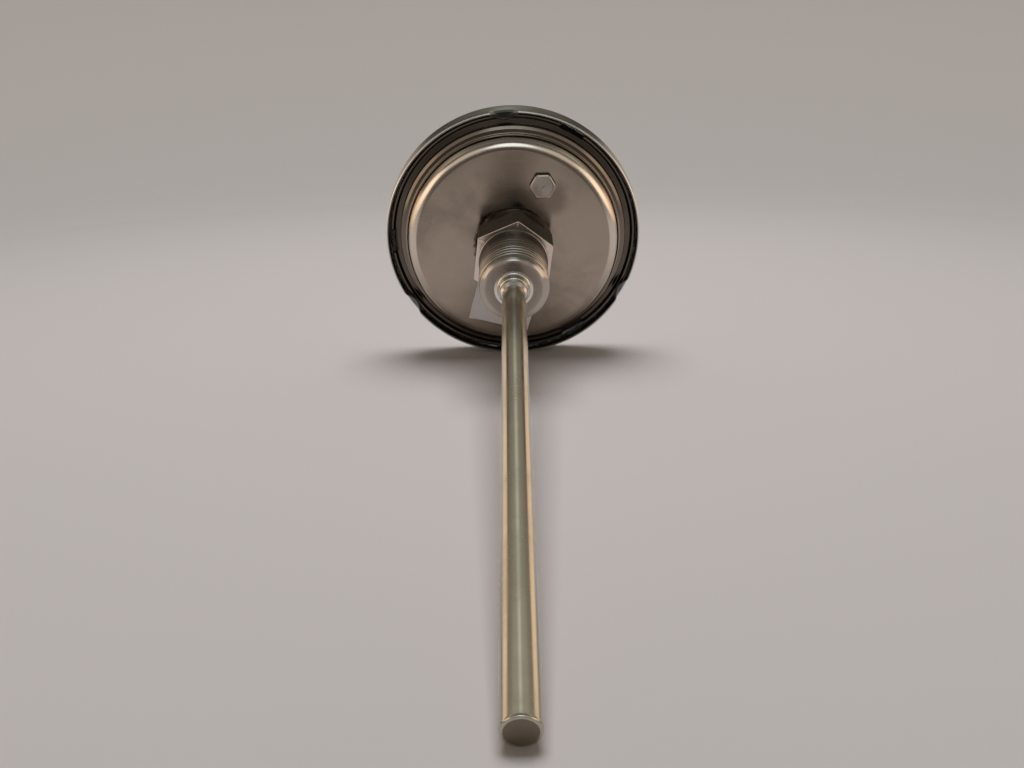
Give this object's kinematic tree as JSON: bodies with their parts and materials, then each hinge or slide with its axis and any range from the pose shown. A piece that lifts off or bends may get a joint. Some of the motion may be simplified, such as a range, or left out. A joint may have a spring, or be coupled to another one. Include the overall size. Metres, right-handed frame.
{
  "type": "dial thermometer",
  "caption": "Back-connected bimetal dial thermometer: round locking bezel, stepped case, hex and taper pipe thread, long thin stem, rear calibration screw.",
  "frame": {"origin": "on the stem axis, in the plane of the hex shoulder that the taper thread leaves", "axes": "+Y along the stem towards its tip, so the dial faces -Y; +Z towards the dial's 12 o'clock; +X to the right of someone reading the dial"},
  "size_m": [0.0798, 0.2029, 0.0798],
  "materials": {
    "case_steel": "satin, drawn stainless steel",
    "bezel_steel": "satin, polished round the rim",
    "machined_steel": "turned, fine lathe marks",
    "stem_steel": "smooth drawn tube",
    "brass": "plain turned and stamped",
    "bimetal_strip": "rolled strip",
    "window_glass": "clear",
    "black_rubber": "matt",
    "dial_white": "matt white, black scale",
    "pointer_black": "matt black",
    "label_paper": "matt, blank"
  },
  "bodies": {
    "housing": {"case_shell": "case_steel", "lens": "window_glass", "lens_gasket": "black_rubber", "process_connection": "machined_steel", "connection_lock_ring": "machined_steel", "weld_collar": "machined_steel", "stem_tube": "stem_steel", "tip_plug": "stem_steel", "front_guide_bushing": "brass", "rear_guide_bushing": "brass", "bimetal_helix": "bimetal_strip", "carrier_wave_washer": "machined_steel", "carrier_clip": "machined_steel", "calibration_o_ring": "black_rubber", "rear_label": "label_paper"},
    "bezel": {"bezel": "bezel_steel"},
    "dial": {"dial_plate": "dial_white", "dial_carrier": "brass", "dial_screw_left": "brass", "dial_screw_right": "brass"},
    "calibration_screw": {"calibration_screw": "machined_steel", "calibration_washer": "machined_steel", "calibration_pinion": "brass", "calibration_clip": "machined_steel"},
    "pointer": {"pointer": "pointer_black", "pointer_hub": "brass", "pointer_shaft": "machined_steel", "helix_collar": "brass"}
  },
  "joints": [
    {"name": "bezel_turn", "type": "hinge", "parent": "housing", "child": "bezel", "pos_m": [0, -0.025, 0], "axis": [0, -1, 0], "range_deg": [0, 32]},
    {"name": "dial_adjust", "type": "hinge", "parent": "housing", "child": "dial", "pos_m": [0, -0.02, 0], "axis": [0, 1, 0], "range_deg": [-12, 12]},
    {"name": "calibration_screw_turn", "type": "hinge", "parent": "housing", "child": "calibration_screw", "pos_m": [-0.00915, -0.02, 0.01868], "axis": [0, 1, 0], "range_deg": [-50.4, 50.4]},
    {"name": "pointer_turn", "type": "hinge", "parent": "housing", "child": "pointer", "pos_m": [0, -0.024, 0], "axis": [0, 1, 0], "range_deg": [-75.6, 194.4], "stiffness_Nm_per_rad": 0.0005, "deforming": ["bimetal_helix"]}
  ],
  "couplings": [
    {"joint": "calibration_screw_turn", "follows": "dial_adjust", "ratio": -4.2}
  ]
}
